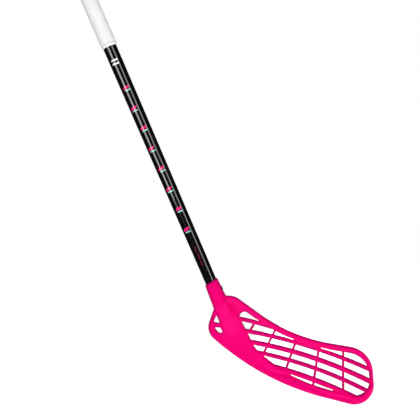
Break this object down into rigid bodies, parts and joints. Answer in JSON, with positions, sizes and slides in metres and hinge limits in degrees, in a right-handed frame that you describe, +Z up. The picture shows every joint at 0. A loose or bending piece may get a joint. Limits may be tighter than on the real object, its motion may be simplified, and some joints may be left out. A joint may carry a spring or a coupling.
{
  "type": "floorball stick",
  "caption": "Floorball stick with a tapered tubular shaft, a wound soft grip, an end cap and a hooked net blade held by a screw at its hosel.",
  "frame": {"origin": "on the shaft's axis, at the middle of the grip", "axes": "+Z up the shaft to the butt end, +X towards the toe of the blade, -Y out of the concave face of the blade"},
  "size_m": [0.2158, 0.0438, 0.9436],
  "materials": {
    "black_lacquer": "clear gloss lacquer over a fibre composite tube",
    "white_grip": "matt, finely grained grip tape",
    "white_tape": "satin finishing tape",
    "black_rubber": "matt",
    "pink_plastic": "satin injection moulding",
    "black_steel": "black oxide"
  },
  "bodies": {
    "root": {"shaft": "black_lacquer", "grip_wrap": "white_grip", "grip_collar": "white_tape", "end_cap": "black_rubber", "blade": "pink_plastic", "blade_screw": "black_steel"}
  },
  "joints": []
}
